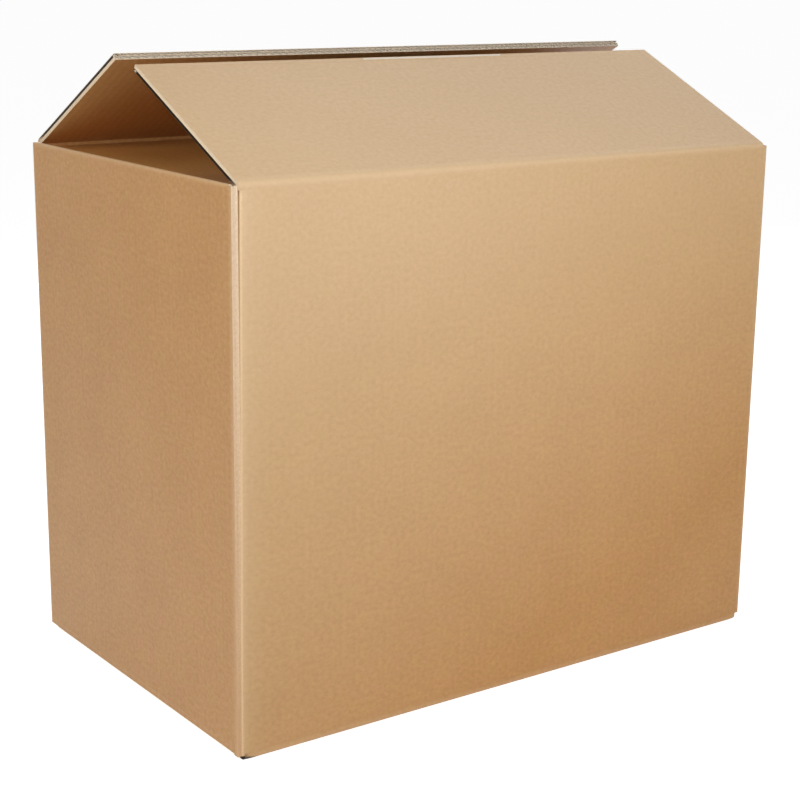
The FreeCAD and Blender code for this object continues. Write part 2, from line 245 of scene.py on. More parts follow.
class BoardMesh:
    """Collects grids of points into one mesh with its blank coordinates and its papers."""

    def __init__(self) -> None:
        """Start with nothing."""
        self.points: list[np.ndarray] = []
        self.blanks: list[np.ndarray] = []
        self.wears_and_highlights: list[np.ndarray] = []
        self.painted_shades: list[np.ndarray] = []
        self.painted_sheens: list[np.ndarray] = []
        self.quads: list[np.ndarray] = []
        self.papers: list[np.ndarray] = []
        self.count = 0

    def add(
        self,
        grid: np.ndarray,
        blank: np.ndarray,
        finish: Finish,
        outward: np.ndarray | Triple,
        wear_and_highlight: Optional[np.ndarray] = None,
        painted_shade: Optional[np.ndarray] = None,
        blend: Optional[np.ndarray] = None,
    ) -> None:
        """Add a grid of points as quads, turned so that its faces point outwards.

        Args:
            grid: points, rows by columns by 3.
            blank: place on the blank, rows by columns by 2.
            finish: the paper that the grid shows.
            outward: a direction that the grid faces on the whole.
            wear_and_highlight: 0 to 1 for each point, the strength of the rubbed tone there, which on the
                liners' folds is a painted highlight.
            painted_shade: 0 to 1 for each point, how far painted shade darkens the paper there.
            blend: 0 to 1 for each point, how far the painted sheen pales the paper there.
        """
        rows, columns = grid.shape[:2]
        index = np.arange(rows * columns).reshape(rows, columns) + self.count
        quads = np.stack(
            [index[:-1, :-1], index[:-1, 1:], index[1:, 1:], index[1:, :-1]], -1
        ).reshape(-1, 4)
        down = grid[1:, :-1] - grid[:-1, :-1]
        right = grid[:-1, 1:] - grid[:-1, :-1]
        normal = np.cross(right, down).reshape(-1, 3).sum(0)
        if float(normal @ np.asarray(outward, float)) < 0:
            quads = quads[:, ::-1]
        self.points.append(grid.reshape(-1, 3))
        self.blanks.append(blank.reshape(-1, 2))
        for kept, given in ((self.wears_and_highlights, wear_and_highlight), (self.painted_shades, painted_shade), (self.painted_sheens, blend)):
            kept.append(np.zeros(rows * columns) if given is None else np.asarray(given).reshape(-1))
        self.quads.append(quads)
        self.papers.append(np.full(len(quads), finish.value))
        self.count += rows * columns

    def build(self, name: str, papers: "Papers", smooth: float = 35.0) -> bpy.types.Object:
        """Make the mesh object.

        Args:
            name: the piece's name.
            papers: the four materials.
            smooth: edges sharper than this many degrees stay sharp.

        Returns:
            The object, at the origin.
        """
        points = np.concatenate(self.points)
        quads = np.concatenate(self.quads)
        mesh = bpy.data.meshes.new(name)
        mesh.vertices.add(len(points))
        mesh.vertices.foreach_set("co", points.astype(np.float32).ravel())
        mesh.loops.add(quads.size)
        mesh.loops.foreach_set("vertex_index", quads.astype(np.int32).ravel())
        mesh.polygons.add(len(quads))
        mesh.polygons.foreach_set("loop_start", np.arange(0, quads.size, 4, dtype=np.int32))
        mesh.polygons.foreach_set("material_index", np.concatenate(self.papers).astype(np.int32))
        mesh.update(calc_edges=True)
        corners = quads.ravel()
        blank = mesh.uv_layers.new(name="Blank")
        blank.data.foreach_set("uv", np.concatenate(self.blanks)[corners].astype(np.float32).ravel())
        # Corner numbers of the paper: the rubbed tone with its painted fold highlight, the painted shade
        # and the painted sheen.
        for key, parts in (("WearAndHighlight", self.wears_and_highlights), ("PaintedShade", self.painted_shades), ("Fade", self.painted_sheens)):
            layer = mesh.attributes.new(key, "FLOAT", "CORNER")
            layer.data.foreach_set("value", np.concatenate(parts)[corners].astype(np.float32))
        shell = bmesh.new()
        shell.from_mesh(mesh)
        bmesh.ops.remove_doubles(shell, verts=shell.verts, dist=MERGE_DISTANCE)
        shell.to_mesh(mesh)
        shell.free()
        mesh.polygons.foreach_set("use_smooth", np.ones(len(mesh.polygons), bool))
        mesh.set_sharp_from_angle(angle=math.radians(smooth))
        for material in papers.made:
            mesh.materials.append(material)
        piece = bpy.data.objects.new(name, mesh)
        bpy.context.scene.collection.objects.link(piece)
        LOG.info("%s: %d faces", name, len(mesh.polygons))
        return piece


class NodeKit:
    """Short calls for building a node tree."""

    def __init__(self, tree: bpy.types.NodeTree) -> None:
        """Keep the tree that nodes go into."""
        self.tree = tree

    def node(self, kind: str, **settings: object) -> bpy.types.Node:
        """Add a node and set its properties.

        Args:
            kind: the node's type name.
            settings: properties of the node, or its inputs by name with spaces as underscores.

        Returns:
            The new node.
        """
        made = self.tree.nodes.new(kind)
        for key, setting in settings.items():
            if hasattr(made, key):
                setattr(made, key, setting)
            else:
                made.inputs[key.replace("_", " ")].default_value = setting
        return made

    def link(self, source: Socket, target: Socket) -> None:
        """Join two sockets."""
        self.tree.links.new(source, target)

    def noise(self, place: Socket, scale: Triple, detail: float, rough: float) -> Socket:
        """Noise between about 0.2 and 0.8.

        Args:
            place: place on the sheet.
            scale: its scale on each axis.
            detail: number of finer layers.
            rough: how strong the finer layers are.

        Returns:
            The noise.
        """
        scaled = self.node("ShaderNodeVectorMath", operation="MULTIPLY")
        scaled.inputs[1].default_value = scale
        self.link(place, scaled.inputs[0])
        made = self.node("ShaderNodeTexNoise", Scale=1.0, Detail=detail, Roughness=rough)
        self.link(scaled.outputs[0], made.inputs["Vector"])
        return made.outputs["Fac"]

    def math(self, operation: str, first: object, second: object = 0.0) -> Socket:
        """Add one math operation.

        Args:
            operation: its name.
            first: a socket or a number.
            second: another one.

        Returns:
            The outcome.
        """
        made = self.node("ShaderNodeMath", operation=operation)
        for index, item in enumerate((first, second)):
            if isinstance(item, (int, float)):
                made.inputs[index].default_value = item
            else:
                self.link(item, made.inputs[index])
        return made.outputs[0]

    def remap(
        self, source: Socket, low: float, high: float, to_low: float, to_high: float
    ) -> Socket:
        """Map a range onto another one, clamped.

        Args:
            source: the number to map.
            low: where its range starts.
            high: where its range ends.
            to_low: what low becomes.
            to_high: what high becomes.

        Returns:
            The mapped number.
        """
        made = self.node("ShaderNodeMapRange")
        self.link(source, made.inputs["Value"])
        for key, number in zip(("From Min", "From Max", "To Min", "To Max"), (low, high, to_low, to_high)):
            made.inputs[key].default_value = number
        return made.outputs[0]

    def mix(self, factor: Socket, first: object, second: object) -> Socket:
        """Mix two colours.

        Args:
            factor: share of the second one.
            first: a socket or a colour.
            second: another one.

        Returns:
            The mixed colour.
        """
        made = self.node("ShaderNodeMix", data_type="RGBA")
        self.link(factor, made.inputs[0])
        for index, item in ((6, first), (7, second)):
            if isinstance(item, tuple):
                made.inputs[index].default_value = item
            else:
                self.link(item, made.inputs[index])
        return made.outputs[2]


def linear(red: int, green: int, blue: int) -> tuple[float, float, float, float]:
    """Turn a colour as a screen shows it into the renderer's linear values.

    Args:
        red: from 0 to 255.
        green: from 0 to 255.
        blue: from 0 to 255.

    Returns:
        The linear colour with full cover.
    """
    channel = [
        value / 255 / 12.92 if value <= 10 else ((value / 255 + 0.055) / 1.055) ** 2.4
        for value in (red, green, blue)
    ]
    return channel[0], channel[1], channel[2], 1.0


def fibre_group() -> bpy.types.NodeTree:
    """Shared look of unbleached paper.

    Takes a place on the sheet and gives masks: cloudiness of the furnish, its fine mottle, streaks
    along the flutes, single fibres, dark flecks and a drift of hue; and a height for the bump, the
    mean of fibres and mottle.

    Returns:
        The node group.
    """
    group = bpy.data.node_groups.new("PaperFibre", "ShaderNodeTree")
    group.interface.new_socket("Place", in_out="INPUT", socket_type="NodeSocketVector")
    kit = NodeKit(group)
    spot = kit.node("NodeGroupInput").outputs["Place"]
    masks = {name: kit.noise(spot, *grain) for name, grain in GRAINS.items()}
    masks["Height"] = kit.math("MULTIPLY", kit.math("ADD", masks["Fibre"], masks["Mottle"]), 0.5)
    leave = kit.node("NodeGroupOutput")
    for name, mask in masks.items():
        group.interface.new_socket(name, in_out="OUTPUT", socket_type="NodeSocketFloat")
        kit.link(mask, leave.inputs[name])
    return group


class PaperKit(NodeKit):
    """Nodes of one paper's material, over the shared fibre group on the blank's map."""

    def __init__(self, name: str, group: bpy.types.NodeTree) -> None:
        """Start the material and place the group in it.

        Args:
            name: the material's name.
            group: the shared fibre group.
        """
        self.made = bpy.data.materials.new(name)
        self.made.use_nodes = True
        self.made.node_tree.nodes.clear()
        super().__init__(self.made.node_tree)
        self.place = self.node("ShaderNodeUVMap", uv_map="Blank").outputs[0]
        self.paper = self.node("ShaderNodeGroup", node_tree=group)
        self.link(self.place, self.paper.inputs["Place"])

    def mask(self, name: str, low: float, high: float) -> Socket:
        """A mask of the group, with its usual range of 0.3 to 0.7 spread from low to high."""
        return self.remap(self.paper.outputs[name], 0.3, 0.7, low, high)

    def painted(self, name: str) -> Socket:
        """A number that the mesh carries."""
        return self.node("ShaderNodeAttribute", attribute_name=name).outputs["Fac"]

    def finish(self, colour: Socket, roughness: Socket, specular: float,
               height: Socket, strength: float, distance: float) -> bpy.types.Material:
        """Join the shader, its bump and the output.

        Args:
            colour: base colour.
            roughness: roughness of the paper.
            specular: level of its reflection.
            height: height for the bump.
            strength: of the bump.
            distance: height of the bump in metres.

        Returns:
            The material.
        """
        shader = self.node("ShaderNodeBsdfPrincipled", Specular_IOR_Level=specular)
        self.link(colour, shader.inputs["Base Color"])
        self.link(roughness, shader.inputs["Roughness"])
        bump = self.node("ShaderNodeBump", Strength=strength, Distance=distance)
        self.link(height, bump.inputs["Height"])
        self.link(bump.outputs[0], shader.inputs["Normal"])
        self.link(shader.outputs[0], self.node("ShaderNodeOutputMaterial").inputs["Surface"])
        return self.made


@dataclass(frozen=True)
class Liner:
    """Brown liner: its two tones, its rubbed tone at folds, which paints a highlight there, and how far the
    flutes show through.
    """

    name: str
    tone: Tone
    deep: Tone
    # Lighter tone at folds, which paints a highlight where they catch the light.
    rubbed_and_highlight: Tone
    washboard_pitch: float
    washboard: float
    # Dark tone of the painted shade.
    painted_shade: Tone = (48, 30, 20)
    # Pale tone of the painted sheen.
    painted_sheen: Tone = (219, 190, 149)
    roughness: tuple[float, float] = (0.40, 0.50)
    specular: float = 0.55
    hue_share: float = 0.30
    fleck_share: float = 0.22
    fleck_dark: float = 0.72
    bump_strength: float = 0.45
    bump_distance: float = 0.12 * MM

    def washboard_ripple(self, kit: PaperKit) -> Socket:
        """Bands of the flutes that show through: a sine wave across them, one to a pitch.

        Args:
            kit: the material's nodes.

        Returns:
            The bands, at the strength of the washboard.
        """
        wave = kit.node("ShaderNodeTexWave", wave_type="BANDS", bands_direction="X", wave_profile="SIN",
                        Scale=math.pi / 10 / self.washboard_pitch, Distortion=0.0)
        kit.link(kit.place, wave.inputs["Vector"])
        return kit.math("MULTIPLY", wave.outputs["Fac"], self.washboard)

    def shade(self, kit: PaperKit, ripple: Socket) -> Socket:
        """Share of the deep tone: the ripple and the paper's masks, each with its weight.

        Args:
            kit: the material's nodes.
            ripple: bands of the flutes.

        Returns:
            The share.
        """
        total = ripple
        for mask, weight in (("Cloud", 0.24), ("Mottle", 0.60), ("Streak", 0.08), ("Fibre", 0.34)):
            total = kit.math("ADD", total, kit.mask(mask, 0.0, weight))
        return total

    def drifted(self, kit: PaperKit, colour: Socket) -> Socket:
        """Give the colour patches that lean to red and to yellow, and dark flecks.

        Args:
            kit: the material's nodes.
            colour: the colour so far.

        Returns:
            The new colour.
        """
        red, green, blue = self.tone
        hue = kit.paper.outputs["Hue"]
        reddish = kit.remap(hue, 0.42, 0.68, 0.0, self.hue_share)
        colour = kit.mix(reddish, colour, linear(red, green - 6, blue - 2))
        yellowish = kit.remap(hue, 0.58, 0.32, 0.0, self.hue_share)
        colour = kit.mix(yellowish, colour, linear(red - 3, green + 1, blue - 12))
        fleck = kit.remap(kit.paper.outputs["Fleck"], 0.68, 0.78, 0.0, self.fleck_share)
        return kit.mix(fleck, colour, linear(*(int(part * self.fleck_dark) for part in self.deep)))

    def material(self, group: bpy.types.NodeTree) -> bpy.types.Material:
        """Build the material: paper, then the painted sheen, the rubbed tone that paints a highlight at
        folds, and the painted shade.

        Args:
            group: the shared fibre group.

        Returns:
            The material.
        """
        kit = PaperKit(self.name, group)
        ripple = self.washboard_ripple(kit)
        colour = kit.mix(self.shade(kit, ripple), linear(*self.tone), linear(*self.deep))
        colour = self.drifted(kit, colour)
        # Painted sheen: a paler tone where the lamps' veil of light falls on the front.
        blend = kit.math("MULTIPLY", kit.painted("Fade"), kit.mask("Mottle", 1.08, 0.92))
        colour = kit.mix(blend, colour, linear(*self.painted_sheen))
        # Painted highlight: the lighter rubbed tone along creases and folds.
        rub_and_highlight = kit.math("MULTIPLY", kit.painted("WearAndHighlight"), kit.mask("Fibre", 0.45, 1.0))
        colour = kit.mix(rub_and_highlight, colour, linear(*self.rubbed_and_highlight))
        # Painted shade: the dark tone in the gap under the front's corner fold.
        painted_shade = kit.painted("PaintedShade")
        colour = kit.mix(painted_shade, colour, linear(*self.painted_shade))
        rough = kit.math("ADD", kit.mask("Mottle", *self.roughness), kit.math("MULTIPLY", painted_shade, 0.3))
        height = kit.math("ADD", kit.paper.outputs["Height"], ripple)
        return kit.finish(colour, rough, self.specular, height, self.bump_strength, self.bump_distance)


@dataclass(frozen=True)
class CutPaper:
    """Cut board: pale torn fibre, on the raw edges and on the fluted sheets."""

    name: str
    pale: Tone
    brown: Tone
    # Dark tone of the painted shade.
    painted_shade: Tone = (44, 29, 20)
    roughness: tuple[float, float] = (0.85, 0.97)
    specular: float = 0.2
    bump_strength: float = 0.6
    bump_distance: float = 0.2 * MM

    def material(self, group: bpy.types.NodeTree) -> bpy.types.Material:
        """Build the material: torn fibre that is browner where it is worn, then the painted shade.

        Args:
            group: the shared fibre group.

        Returns:
            The material.
        """
        kit = PaperKit(self.name, group)
        torn_and_shaded = kit.math("ADD", kit.mask("Fibre", 0.0, 0.35), kit.mask("Fleck", 0.0, 0.2))
        torn_and_shaded = kit.math("ADD", torn_and_shaded, kit.math("MULTIPLY", kit.painted("WearAndHighlight"), 0.75))
        colour = kit.mix(torn_and_shaded, linear(*self.pale), linear(*self.brown))
        # Painted shade: dark in open flutes and in the gap under the front's corner fold.
        colour = kit.mix(kit.painted("PaintedShade"), colour, linear(*self.painted_shade))
        rough = kit.mask("Fleck", *self.roughness)
        height = kit.paper.outputs["Height"]
        return kit.finish(colour, rough, self.specular, height, self.bump_strength, self.bump_distance)


@dataclass
class Papers:
    """The four papers that the board shows, in the order of Finish."""

    outer: Liner = Liner("outer_liner", (201, 151, 90), (172, 120, 61), (240, 214, 176), 6.4 * MM, 0.05)
    inner: Liner = Liner("inner_liner", (224, 174, 116), (202, 146, 88), (230, 190, 140), 8.0 * MM, 0.3)
    raw: CutPaper = CutPaper("cut_edge", (246, 230, 206), (218, 176, 134))
    flute: CutPaper = CutPaper("fluted_sheet", (248, 243, 234), (226, 212, 196))
    made: list[bpy.types.Material] = field(default_factory=list)

    def build(self) -> None:
        """Make the materials once."""
        group = fibre_group()
        self.made = [item.material(group) for item in (self.outer, self.inner, self.raw, self.flute)]


@dataclass
class Profile:
    """A path in a plane, with the board's outer line, its inner line and the place along the blank."""

    outer: np.ndarray
    inner: np.ndarray
    along: np.ndarray
    wear_and_highlight: np.ndarray


def flap_profile(angle: float, radius: float, start: float, length: float) -> Profile:
    """Wall end, rounded crease and flap of a long panel, seen from the side.

    In the plane of the profile the first axis runs inwards from the wall's outer face and the second
    up from the crease line.  The wall is the line first = 0, the flap leaves the origin at an angle
    above level, and a circle of the given radius that touches both lines rounds the corner between.
    The inner line is the outer one moved by the board's thickness along its normal.

    Args:
        angle: of the flap above level, in degrees.
        radius: of the crease on its outside.
        start: how far below the crease line the strip starts.
        length: from the crease line to the free edge.

    Returns:
        The profile from the wall to the free edge.
    """
    wall_step, arc_points, flap_step = 1.5 * MM, 13, 6.0 * MM
    # A lighter tone along the crease, which paints its highlight.
    rub_and_highlight, rub_and_highlight_width = 0.5, 3.0 * MM
    rise = math.radians(angle)
    turn = math.pi / 2 - rise
    tangent = radius * math.tan(turn / 2)
    wall = spread(-start, -tangent, wall_step)
    swing = np.linspace(0.0, turn, arc_points + 2)[1:-1]
    arc_normals = joined(-np.cos(swing), np.sin(swing))
    flap = spread(tangent, length, flap_step)
    outer = np.concatenate([
        joined(0.0, wall),
        np.array([radius, -tangent]) + radius * arc_normals,
        np.outer(flap, [math.cos(rise), math.sin(rise)]),
    ])
    normals = np.concatenate([
        np.tile([-1.0, 0.0], (len(wall), 1)),
        arc_normals,
        np.tile([-math.sin(rise), math.cos(rise)], (len(flap), 1)),
    ])
    along = CARTON.crease - start + run_length(outer)
    wear_and_highlight = rub_and_highlight * bell(along - (CARTON.crease - 0.1 * tangent), rub_and_highlight_width)
    return Profile(outer, outer - BOARD.thickness * normals, along, wear_and_highlight)


def short_flap_profile(roll_width: float = 5.0 * MM) -> Profile:
    """Rolled crease and flap of a short panel, seen from the side.

    The first axis runs inwards from the wall's outer face and the second up from the base.  The
    outer line goes up the wall, over a roll made of two quarter circles, down behind it and along
    the flap, which lies a board's thickness below the crease.  The inner line is level, under it.

    Args:
        roll_width: how far the roll reaches inwards.

    Returns:
        The profile from the wall to the free edge.
    """
    outer_radius, tip_flat, wall_gap = 3.0 * MM, 0.1 * MM, 0.2 * MM
    foot_width, foot_height = 2.2 * MM, 1.6 * MM
    # A lighter tone along the roll's top, which paints its highlight.
    rub_and_highlight, rub_and_highlight_width = 0.6, 3.2 * MM
    top, level = CARTON.short_crease, CARTON.short_flap_top
    up_away, up_rise = quarter(outer_radius)
    down_away, down_rise = quarter(roll_width - outer_radius - tip_flat)
    wall = joined(0.0, np.array([CARTON.strip_start, top - outer_radius - wall_gap]))
    slope = np.linspace(0.15, 1.0, 6)
    run = spread(roll_width + 4 * MM, CARTON.flap, 8 * MM)
    outer = np.concatenate([
        wall,
        joined(up_away, top - up_rise),
        joined(roll_width - down_rise, top - down_away),
        joined(roll_width + foot_width * slope, level + foot_height * (1 - smooth_step(slope))),
        joined(run, level),
    ])
    under_roll = np.linspace(BOARD.thickness, run[0], len(outer) - len(run), endpoint=False)
    inner = joined(np.concatenate([under_roll, run]), level - BOARD.thickness)
    along = CARTON.strip_start + run_length(outer)
    roll_top = along[len(wall) + QUARTER_POINTS - 1]
    return Profile(outer, inner, along, rub_and_highlight * bell(along - roll_top, rub_and_highlight_width))


def bottom_profile(base: float, top: float) -> Profile:
    """Bottom fold and bottom flap, seen from the side.

    A quarter circle of the fold's radius joins the wall to the flap's underside.

    Args:
        base: height of the flap's underside.
        top: height at which the strip meets the wall.

    Returns:
        The profile from the wall to the free edge.
    """
    rub_and_highlight, rub_and_highlight_width, rub_and_highlight_place = 0.25, 4.0 * MM, 6.0 * MM
    away, rise = quarter(CARTON.fold_radius)
    run = spread(CARTON.fold_radius + 1 * MM, CARTON.flap, 10 * MM)
    outer = np.concatenate([[[0.0, top]], joined(away, base + rise), joined(run, base)])
    inner = joined(np.maximum(outer[:, 0], BOARD.thickness), base + BOARD.thickness)
    inner[0, 1] = max(top, base + BOARD.thickness)
    along = top - run_length(outer)
    return Profile(outer, inner, along, rub_and_highlight * bell(along - (top - rub_and_highlight_place), rub_and_highlight_width))


@dataclass
class Placed:
    """Carries a profile's plane into the carton's frame.

    A point of the profile is (inwards, up) and sits at a place across the panel.  inward and across
    are unit vectors in plan, and edge is a point of the wall's outer face at the panel's middle.
    """

    inward: tuple[float, float]
    across: tuple[float, float]
    edge: tuple[float, float]
    level: float
    blank_middle: float

    def points(self, plane: np.ndarray, across: np.ndarray) -> np.ndarray:
        """Turn profile points into points of the frame.

        Args:
            plane: profile points, rows by columns by 2.
            across: place of each across the panel.

        Returns:
            The points, rows by columns by 3.
        """
        x = self.edge[0] + plane[..., 0] * self.inward[0] + across * self.across[0]
        y = self.edge[1] + plane[..., 0] * self.inward[1] + across * self.across[1]
        return joined(x, y, self.level + plane[..., 1])


@dataclass
class FreeEdge:
    """The free edge of a flap.

    start and end are the ends of the outer face's edge, drop leads from there through the board to
    its inner face, and inward is a unit vector into the board.
    """

    start: np.ndarray
    end: np.ndarray
    drop: np.ndarray
    inward: np.ndarray

    def line(self, depth: np.ndarray, way_in: float) -> np.ndarray:
        """Points across the edge.

        Args:
            depth: below the outer face at each point, in board thicknesses.
            way_in: how far into the board.

        Returns:
            The points.
        """
        share = np.linspace(0, 1, len(depth))[:, None]
        surface = self.start * (1 - share) + self.end * share
        return surface + depth[:, None] * self.drop + way_in * self.inward


@dataclass
class FlapStrip:
    """A flap with its crease, from the wall to its free edge, as a board with raw edges."""

    name: str
    profile: Profile
    placed: Placed
    half_near: float
    half_far: float
    taper_near: float = 0.0
    taper_far: float = 0.0
    open_flutes: bool = True
    waves: float = 0.25 * MM
    seed: float = 0.0
    channel: float = 0.0
    channel_outside: bool = False
    corner_lift: tuple[float, float] = (0.0, 0.0)
    crush_reach: float = 9.0 * MM
    crush_depth: float = 7.0 * MM
    # The painted shade wedge under the front's corner fold: its height, its length and the columns that it
    # takes.
    shade_wedge_height: float = 0.0
    shade_wedge_length: float = 15.0 * MM
    shade_wedge_columns: int = 17
    column_step: float = 8.0 * MM
    # The strongest painted shade of that wedge.
    gap_shade_darkest: float = 0.98
    wobble: float = 0.05 * MM
    edge_run: float = 580.0 * MM
    sheet_run: float = 5.0 * MM
    # Depth at which the painted sheen is taken, None for no sheen.
    sheen_depth: Optional[float] = None
    up: Triple = (0.0, 0.0, 1.0)
    mesh: BoardMesh = field(default_factory=BoardMesh)

    def share(self) -> np.ndarray:
        """How far along the flap each profile point is.

        Returns:
            The share at each point, 0 up to the crease and 1 at the free edge.
        """
        crease_run = 8 * MM
        along = np.abs(self.profile.along - self.profile.along[0])
        return np.clip((along - crease_run) / (along[-1] - crease_run), 0.0, 1.0)

    def columns(self) -> np.ndarray:
        """Places across the panel, closer together at the end with the painted shade wedge.

        Returns:
            The places, from -1 to 1.
        """
        even = np.linspace(-1, 1, int(self.half_near * 2 / self.column_step) + 1)
        if self.shade_wedge_height:
            reach = 3 * self.column_step / self.half_near
            close = np.linspace(-1, -1 + reach, self.shade_wedge_columns)
            least_gap = 0.002
            even = np.union1d(close, even[even > close[-1] + least_gap])
        return even

    def painted_gap_shade(self, across: np.ndarray) -> np.ndarray:
        """Painted shade of the gap under the lifted fold: a dark wedge where shadow falls, highest at the
        fold's end.

        Its height falls evenly from the end, and its rim is a ramp of 0.7 mm.

        Args:
            across: places across the panel, rows by columns.

        Returns:
            The painted shade at each place, 0 to 1.
        """
        rim, fold_reach = 0.7 * MM, 8.0 * MM
        line = self.profile.outer
        height = self.shade_wedge_height * (1 - (across + self.half_near) / self.shade_wedge_length)
        wedge = np.clip((height - line[:, 1:]) / rim + 0.5, 0, 1)
        return self.gap_shade_darkest * wedge * (line[:, :1] < fold_reach)

    def across(self, columns: np.ndarray) -> np.ndarray:
        """Places across the panel, between two ends that taper towards the free edge.

        Args:
            columns: values from -1 to 1.

        Returns:
            The places, rows by columns.
        """
        share = self.share()[:, None]
        low = -self.half_near + self.taper_near * share
        high = self.half_far - self.taper_far * share
        return low + (high - low) * (columns[None, :] + 1) / 2

    def surface(self, line: np.ndarray, columns: np.ndarray, outside: bool) -> np.ndarray:
        """Points of one face of the board.

        The face follows the profile line and is moved along its normal by slow waves that die out
        at the crease and at the edges.

        Args:
            line: the profile's outer or inner line.
            columns: places across, from -1 to 1.
            outside: whether this is the outer face.

        Returns:
            The points, rows by columns by 3.
        """
        across = self.across(columns)
        tangent = np.gradient(line, axis=0)
        tangent /= np.maximum(np.linalg.norm(tangent, axis=1, keepdims=True), 1e-9)
        normal = np.stack([-tangent[:, 1], tangent[:, 0]], 1)
        share = self.share()[:, None]
        level = unevenness(across + self.placed.blank_middle, self.profile.along[:, None], self.seed)
        at_ends = 0.35
        calm = smooth_step(share * 6) * (at_ends + (1 - at_ends) * (1 - columns[None, :] ** 2))
        lift = self.waves * (level - 1.0) * calm
        plane = line[:, None, :] + lift[..., None] * normal[:, None, :]
        if outside:
            plane = plane + np.stack([0 * across, self.crushed(line, across)], -1)
        return self.placed.points(plane, across)

    def crushed(self, line: np.ndarray, across: np.ndarray) -> np.ndarray:
        """How far the fold is lifted off the floor near its two ends.

        The lift is full at the fold's ends, and a smooth ramp takes it to nothing along the fold,
        inwards under the flap, and at the top of the strip.

        Args:
            line: the profile's outer line.
            across: places across the panel, rows by columns.

        Returns:
            The lift at each place.
        """
        near = self.corner_lift[0] * (1 - smooth_step((across + self.half_near) / self.crush_reach))
        far = self.corner_lift[1] * (1 - smooth_step((self.half_far - across) / self.crush_reach))
        inwards = 1 - smooth_step(line[:, :1] / self.crush_depth)
        below = 1 - np.clip(line[:, 1:] / max(line[0, 1], 1e-6), 0, 1)
        return (near + far) * inwards * below

    def blank(self, across: np.ndarray, along: np.ndarray) -> np.ndarray:
        """Place on the blank, for the Blank map."""
        return joined(self.placed.blank_middle + across, along)

    def add_faces(self) -> tuple[np.ndarray, np.ndarray]:
        """Add the outer and the inner face and the rim at the wall.

        Returns:
            The points of the outer face and of the inner face, rows by columns by 3.
        """
        columns = self.columns()
        across = self.across(columns)
        blank = self.blank(across, self.profile.along[:, None])
        wear_and_highlight = np.repeat(self.profile.wear_and_highlight[:, None], len(columns), 1)
        outer = self.surface(self.profile.outer, columns, True)
        inner = self.surface(self.profile.inner, columns, False)
        # Painted shade in the gap under the fold, and painted sheen on the front.
        painted_gap_shade = self.painted_gap_shade(across) if self.shade_wedge_height else None
        blend = None
        if self.sheen_depth is not None:
            blend = painted_sheen((across + CARTON.half_length) / CARTON.length, self.sheen_depth)
        up = np.array(self.up)
        self.mesh.add(outer, blank, Finish.OUTER, up, wear_and_highlight, painted_gap_shade, blend)
        self.mesh.add(inner, blank, Finish.INNER, -up, wear_and_highlight * 0.5)
        start = np.stack([outer[0], inner[0]])
        self.mesh.add(start, np.stack([blank[0], blank[0] + [0.0, BOARD.thickness]]), Finish.RAW,
                      start[0].mean(0) - outer[1].mean(0), wear_and_highlight=np.ones(start.shape[:2]))
        return outer, inner

    def add_side(self, outer: np.ndarray, inner: np.ndarray, outward: np.ndarray, torn_and_shaded: bool) -> None:
        """Add a raw side edge, with a coarse flute that the cut has laid open.

        Across the thickness the edge is a band of torn paper and, under it, a channel whose depth is a
        smooth ramp and whose dark is painted shade, with the inner liner torn back behind the outer one.

        Args:
            outer: the outer face's edge.
            inner: the inner face's edge.
            outward: unit vector out of the edge.
            torn_and_shaded: whether the painted shade of the gap under the fold covers its start.
        """
        # The third column of SIDE_EDGE is painted shade, dark where shadow falls in the open flute.
        shares, sinks, painted_flute_shade = SIDE_EDGE.T
        sinks = sinks * self.channel
        painted_flute_shade = painted_flute_shade * min(1.0, self.channel / MM)
        if self.channel_outside:
            shares, sinks, painted_flute_shade = 1 - shares[::-1], sinks[::-1], 0.85 * painted_flute_shade[::-1]
        grid = outer[:, None, :] * (1 - shares[:, None]) + inner[:, None, :] * shares[:, None]
        starts = smooth_step(self.share() * 20)[:, None]
        grid -= outward * (sinks * starts)[..., None]
        place = self.blank(shares * BOARD.thickness, self.profile.along[:, None])
        # Painted shade in the open flute and, at the front's corner, in the gap under the fold.
        painted_shade = painted_flute_shade * np.maximum(starts, 0.4)
        if torn_and_shaded:
            painted_shade = np.maximum(painted_shade, self.gap_shade_darkest * (1 - smooth_step(self.share() * 8))[:, None])
        self.mesh.add(grid, place, Finish.RAW, outward, painted_shade=painted_shade)

    def add_free_edge(self, outer: np.ndarray, inner: np.ndarray) -> None:
        """Add the free edge: liners' ends and two rows of open flutes, or a plain cut.

        Args:
            outer: points of the outer face.
            inner: points of the inner face.
        """
        inward = outer[-2].mean(0) - outer[-1].mean(0)
        inward /= np.linalg.norm(inward)
        if self.open_flutes:
            drop = inner[-1].mean(0) - outer[-1].mean(0)
            self.add_flutes(FreeEdge(outer[-1, 0], outer[-1, -1], drop, inward))
            return
        across = self.across(np.linspace(-1, 1, outer.shape[1]))[-1]
        place = self.blank(across, np.array([[0.0], [BOARD.thickness]]))
        self.mesh.add(np.stack([outer[-1], inner[-1]]), place, Finish.RAW, -inward)

    def add_sheet(self, edge: FreeEdge, rows: tuple[tuple[np.ndarray, float, np.ndarray | float], ...],
                  finish: Finish, outward: np.ndarray) -> None:
        """Add a sheet between two lines across the free edge.

        Args:
            edge: the free edge.
            rows: for each line, its depths, its way into the board and its place along the blank.
            finish: the sheet's paper.
            outward: the side that it faces.
        """
        grid = np.stack([edge.line(depth, way_in) for depth, way_in, _ in rows])
        run = np.linspace(0, self.edge_run, grid.shape[1])
        self.mesh.add(grid, np.stack([joined(run, place) for *_, place in rows]), finish, outward)

    def add_ribbon(self, edge: FreeEdge, depth: np.ndarray, outward: np.ndarray) -> None:
        """Add a face of a sheet that runs into the board from the free edge."""
        rows = ((depth, 0.0, 0.0), (depth, BOARD.flute_depth, self.sheet_run))
        self.add_sheet(edge, rows, Finish.FLUTE, outward)

